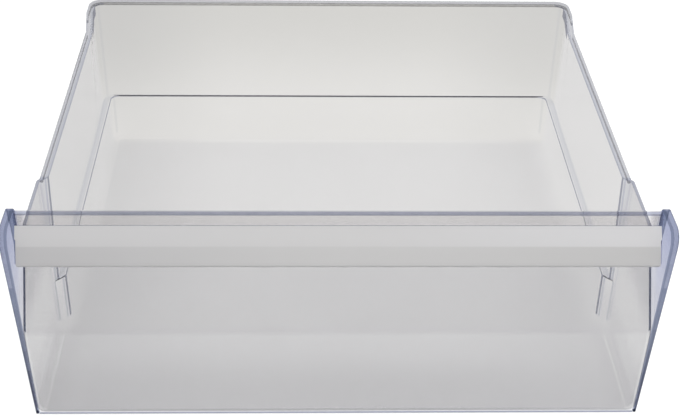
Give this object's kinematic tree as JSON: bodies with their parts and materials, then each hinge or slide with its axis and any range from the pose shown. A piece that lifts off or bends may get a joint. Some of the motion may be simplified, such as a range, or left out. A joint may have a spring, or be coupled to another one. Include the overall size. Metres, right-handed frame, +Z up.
{
  "type": "freezer drawer",
  "caption": "Clear moulded freezer drawer, open at the top, with a stepped rear bin, a rim flange and a front panel whose frosted handle strip hangs over a finger recess.",
  "frame": {"origin": "middle of the bottom of the whole drawer's bounding box", "axes": "+Z up, +Y from the front panel to the rear wall, +X across the drawer to the right as seen from the front"},
  "size_m": [0.45, 0.4354, 0.1552],
  "materials": {
    "bin_plastic": "clear, polished",
    "panel_plastic": "clear, polished",
    "strip_plastic": "frosted, whitish, glossy outside"
  },
  "bodies": {
    "root": {"drawer_bin": "bin_plastic", "front_panel": "panel_plastic", "handle_strip": "strip_plastic"}
  },
  "joints": []
}
